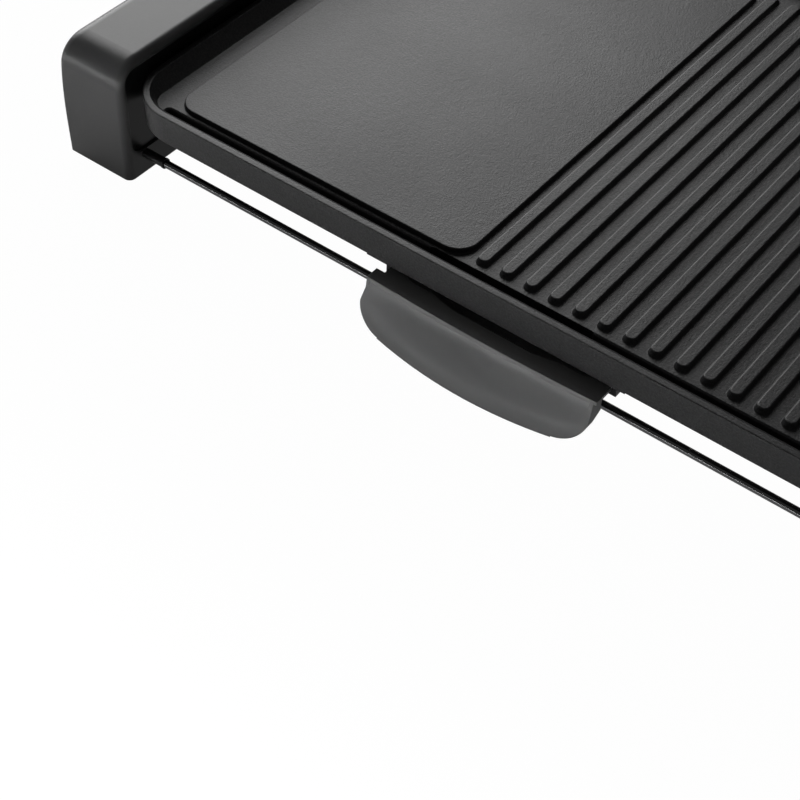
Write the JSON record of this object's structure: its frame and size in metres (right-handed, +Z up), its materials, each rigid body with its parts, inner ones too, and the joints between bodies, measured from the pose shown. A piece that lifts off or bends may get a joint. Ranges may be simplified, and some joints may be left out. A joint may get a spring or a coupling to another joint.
{
  "type": "electric table grill with drip tray",
  "caption": "Open electric table grill: a cast griddle, half smooth and half ribbed, between two plastic end housings, with a pull-out drip tray below and a turning heat knob.",
  "frame": {"origin": "on the table, under the centre of the whole object at rest", "axes": "+X along the grill from the left housing to the right one, -Y towards the user (the side the tray slides out of), +Z up"},
  "size_m": [0.5664, 0.3418, 0.0772],
  "materials": {
    "griddle_plate": "dark non-stick coating",
    "heating_element": "oxidised sheath",
    "end_cover": "satin black",
    "inner_panel": "gloss black",
    "base_cover": "black",
    "foot": "matt",
    "rod": "polished",
    "rod_bush": "black",
    "bracket": "zinc plated",
    "runner": "black",
    "drip_tray": "satin black",
    "knob": "satin black",
    "dial": "printed scale",
    "steel": "plated",
    "thermostat": "phenolic brown",
    "copper": "drawn tube",
    "lens": "red",
    "lamp_body": "white",
    "block": "white",
    "fuse": "bare",
    "leads": "silicone",
    "inlet": "black",
    "brass": "plated"
  },
  "bodies": {
    "frame": {"base_screws": "steel", "bracket_screws": "steel", "dial_plate": "dial", "front_rod": "rod", "griddle_plate": "griddle_plate", "heating_element": "heating_element", "inlet_pins": "brass", "inlet_socket": "inlet", "internal_leads": "leads", "left_base_cover": "base_cover", "left_end_cover": "end_cover", "left_front_foot": "foot", "left_front_plate_bracket": "bracket", "left_front_rod_bush": "rod_bush", "left_inner_panel": "inner_panel", "left_rear_foot": "foot", "left_rear_plate_bracket": "bracket", "left_rear_rod_bush": "rod_bush", "pilot_lamp_body": "lamp_body", "pilot_lamp_lens": "lens", "probe_clip": "steel", "rear_rod": "rod", "right_base_cover": "base_cover", "right_end_cover": "end_cover", "right_front_foot": "foot", "right_front_plate_bracket": "bracket", "right_front_rod_bush": "rod_bush", "right_inner_panel": "inner_panel", "right_rear_foot": "foot", "right_rear_plate_bracket": "bracket", "right_rear_rod_bush": "rod_bush", "rod_screws": "steel", "terminal_block": "block", "terminal_screws": "steel", "thermal_fuse": "fuse", "thermostat_body": "thermostat", "thermostat_nut": "steel", "thermostat_probe": "copper", "tray_runner_left": "runner", "tray_runner_right": "runner"},
    "tray": {"drip_tray": "drip_tray"},
    "knob": {"control_knob": "knob", "thermostat_shaft": "steel"}
  },
  "joints": [
    {"name": "tray_slide", "type": "slide", "parent": "frame", "child": "tray", "axis": [0, -1, 0], "range_m": [0, 0.229]},
    {"name": "knob_turn", "type": "hinge", "parent": "frame", "child": "knob", "pos_m": [0.2607, -0.14775, 0.035], "axis": [0, 1, 0], "range_deg": [0, 270]}
  ]
}
